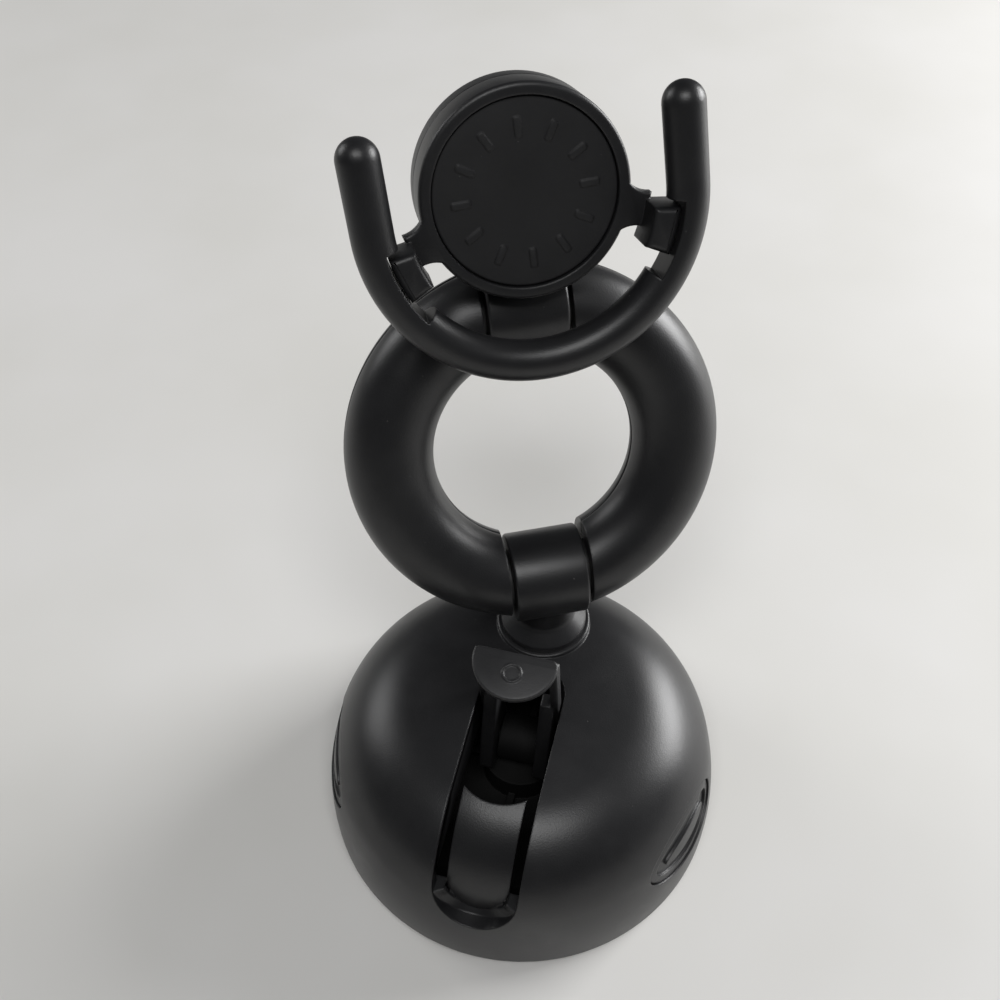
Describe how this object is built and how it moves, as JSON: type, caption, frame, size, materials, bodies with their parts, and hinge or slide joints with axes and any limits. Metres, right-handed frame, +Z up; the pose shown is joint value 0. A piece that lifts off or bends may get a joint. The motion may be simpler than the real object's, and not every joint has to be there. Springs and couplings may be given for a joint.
{
  "type": "suction-base holder for a collapsible phone grip",
  "caption": "Domed suction base with flip lever, swivelling neck, tilting ring arm and tilting round head with a U-shaped cradle that holds a phone grip.",
  "frame": {"origin": "middle of the suction cup's flat underside", "axes": "+Z up out of the base, -Y the side with the lever slot, +X to its right seen from that side"},
  "size_m": [0.0748, 0.0886, 0.1312],
  "materials": {
    "dome_plastic": "satin black moulded plastic",
    "pad_plastic": "smooth black plastic",
    "frame_plastic": "plain black moulding",
    "steel": "plain steel",
    "ring_rubber": "matte black",
    "cup_rubber": "soft matte black",
    "lever_plastic": "satin dark grey",
    "arm_plastic": "satin black moulded plastic",
    "bush_plastic": "dark bearing plastic",
    "head_plastic": "satin black moulded plastic",
    "disc_plastic": "matte black, a little rough",
    "cradle_plastic": "satin black"
  },
  "bodies": {
    "base": {"dome_shell": "dome_plastic", "side_pad_right": "pad_plastic", "side_pad_left": "pad_plastic", "base_frame": "frame_plastic", "base_screws": "steel", "base_ring": "ring_rubber", "cup_lip": "cup_rubber", "cup_bell": "cup_rubber", "swivel_bush": "bush_plastic", "return_spring": "steel"},
    "plunger": {"cup_stem": "frame_plastic", "stem_pin": "steel"},
    "lever": {"lever": "lever_plastic"},
    "neck": {"neck": "arm_plastic", "swivel_washer": "bush_plastic", "swivel_retainer": "steel", "lower_hinge_bush": "bush_plastic"},
    "ring": {"ring_right_front": "arm_plastic", "ring_right_back": "arm_plastic", "ring_left_front": "arm_plastic", "ring_left_back": "arm_plastic", "ring_screws": "steel", "lower_hinge_pin": "steel", "lower_hinge_washers": "bush_plastic", "upper_hinge_pin": "steel", "upper_hinge_washers": "bush_plastic"},
    "head": {"head_back": "head_plastic", "head_housing": "head_plastic", "head_screws": "steel", "disc_insert": "disc_plastic", "cradle": "cradle_plastic", "upper_hinge_bush": "bush_plastic"}
  },
  "joints": [
    {"name": "stem_lift", "type": "slide", "parent": "base", "child": "plunger", "axis": [0, 0, 1], "range_m": [0, 0.0025], "deforming": ["return_spring", "cup_bell"]},
    {"name": "lever_swing", "type": "hinge", "parent": "plunger", "child": "lever", "pos_m": [0, 0, 0.017], "axis": [1, 0, 0], "range_deg": [0, 79.5]},
    {"name": "neck_swivel", "type": "hinge", "parent": "base", "child": "neck", "pos_m": [0, 0.0172, 0.0334], "axis": [0, 0, 1], "range_deg": [-75, 25]},
    {"name": "ring_tilt", "type": "hinge", "parent": "neck", "child": "ring", "pos_m": [0, 0.0172, 0.0481], "axis": [0.8993, 0.4374, 0], "range_deg": [-60, 30]},
    {"name": "head_tilt", "type": "hinge", "parent": "ring", "child": "head", "pos_m": [-0.00962, 0.03698, 0.09255], "axis": [0.8993, 0.4374, 0], "range_deg": [-70, 20]}
  ],
  "couplings": [
    {"joint": "lever_swing", "follows": "stem_lift", "rad_per_m": 555}
  ]
}
